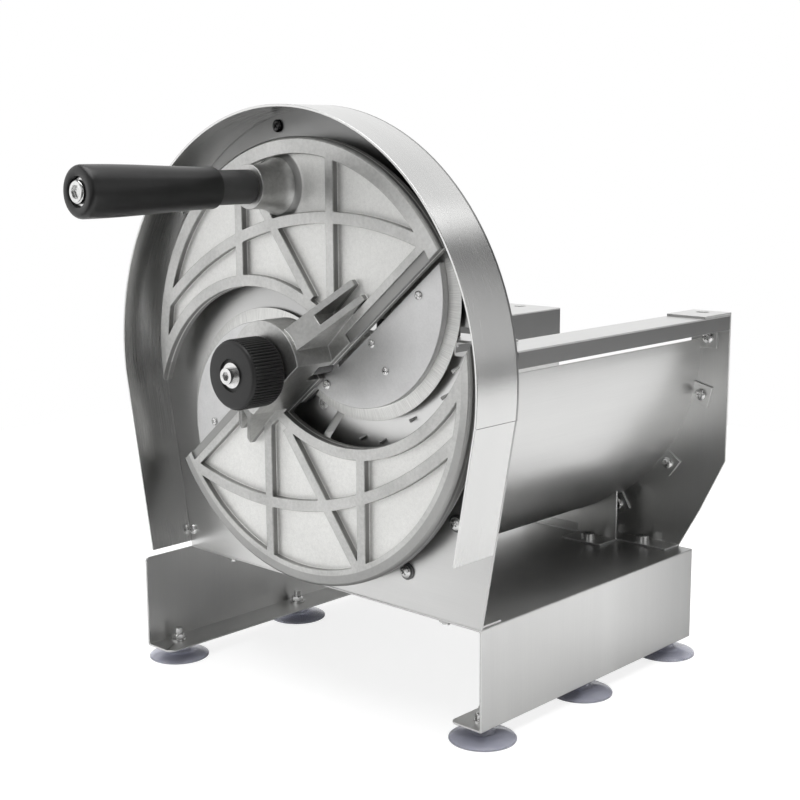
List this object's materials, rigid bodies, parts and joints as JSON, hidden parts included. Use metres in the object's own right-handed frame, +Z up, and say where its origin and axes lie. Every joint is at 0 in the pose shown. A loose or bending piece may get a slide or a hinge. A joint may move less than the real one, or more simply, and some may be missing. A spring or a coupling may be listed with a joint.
{
  "type": "rotary fruit slicer",
  "caption": "Bench-top hand-cranked slicer: a guarded two-lobed blade disc with a setting knob, a quarter-round feed trough with a spiked pusher, on suction cups.",
  "frame": {"origin": "on the bench, below the middle of the whole object's box; the crank axis is at X = 0 and Z = 0.2105", "axes": "+X to the right seen from the crank side, +Y from the crank side to the rear of the trough, +Z up"},
  "size_m": [0.306, 0.384, 0.3635],
  "materials": {
    "steel_sheet": "brushed stainless sheet",
    "cast_aluminium": "cast, ribs and hub machined",
    "blade_steel": "ground edge with radial grind marks",
    "bright_fasteners": "bright plated",
    "dark_steel": "blackened",
    "bronze": "plain bearing bronze",
    "clear_cup": "clear soft plastic",
    "black_plastic": "satin black",
    "knob_plastic": "knurled, satin black"
  },
  "bodies": {
    "frame": {"base_plate": "steel_sheet", "front_panel": "steel_sheet", "guard_band": "steel_sheet", "trough": "steel_sheet", "trough_saddle": "steel_sheet", "end_plate": "steel_sheet", "near_rail": "steel_sheet", "far_rail": "steel_sheet", "bearing_housing": "cast_aluminium", "front_bush": "bronze", "rear_bush": "bronze", "housing_screws": "bright_fasteners", "suction_cups": "clear_cup", "cup_studs": "bright_fasteners", "cup_washers": "bright_fasteners", "cup_nuts": "bright_fasteners", "panel_screws": "bright_fasteners", "panel_nuts": "bright_fasteners", "trough_front_screws": "bright_fasteners", "trough_front_washers": "dark_steel", "trough_rear_screws": "bright_fasteners", "trough_nuts": "bright_fasteners", "base_bolts": "bright_fasteners", "base_nuts": "bright_fasteners", "thrust_washer": "bronze"},
    "rotor": {"spindle": "dark_steel", "spindle_collar": "dark_steel", "collar_screw": "bright_fasteners", "blade_carrier": "cast_aluminium", "right_blade": "blade_steel", "left_blade": "blade_steel", "blade_screws": "bright_fasteners", "carrier_screws": "dark_steel", "guide_pins": "dark_steel", "return_spring": "dark_steel"},
    "thickness_disc": {"thickness_plate": "cast_aluminium", "handle_sleeve": "black_plastic", "handle_bolt": "bright_fasteners", "handle_washer": "bright_fasteners"},
    "crank_grip": {"grip": "black_plastic"},
    "adjusting_knob": {"adjusting_screw": "bright_fasteners", "knob": "knob_plastic", "knob_washer": "bright_fasteners", "knob_bolt": "bright_fasteners"},
    "pusher": {"pusher_plate": "steel_sheet", "pusher_spikes": "steel_sheet", "pusher_bridge": "steel_sheet", "pusher_handle": "black_plastic", "pusher_screws": "bright_fasteners"}
  },
  "joints": [
    {"name": "crank_turn", "type": "hinge", "parent": "frame", "child": "rotor", "pos_m": [0, -0.03505, 0.2105], "axis": [0, 1, 0], "continuous": true},
    {"name": "thickness_slide", "type": "slide", "parent": "rotor", "child": "thickness_disc", "axis": [0, -1, 0], "range_m": [0, 0.009]},
    {"name": "knob_turn", "type": "hinge", "parent": "thickness_disc", "child": "adjusting_knob", "pos_m": [0, -0.03505, 0.2105], "axis": [0, -1, 0], "range_deg": [0, 1080]},
    {"name": "grip_turn", "type": "hinge", "parent": "thickness_disc", "child": "crank_grip", "pos_m": [-0.01793, -0.14, 0.31649], "axis": [0, 1, 0], "continuous": true},
    {"name": "pusher_slide", "type": "slide", "parent": "frame", "child": "pusher", "axis": [0, 1, 0], "range_m": [0, 0.15]}
  ],
  "couplings": [
    {"joint": "knob_turn", "follows": "thickness_slide", "rad_per_m": 2094.4}
  ]
}
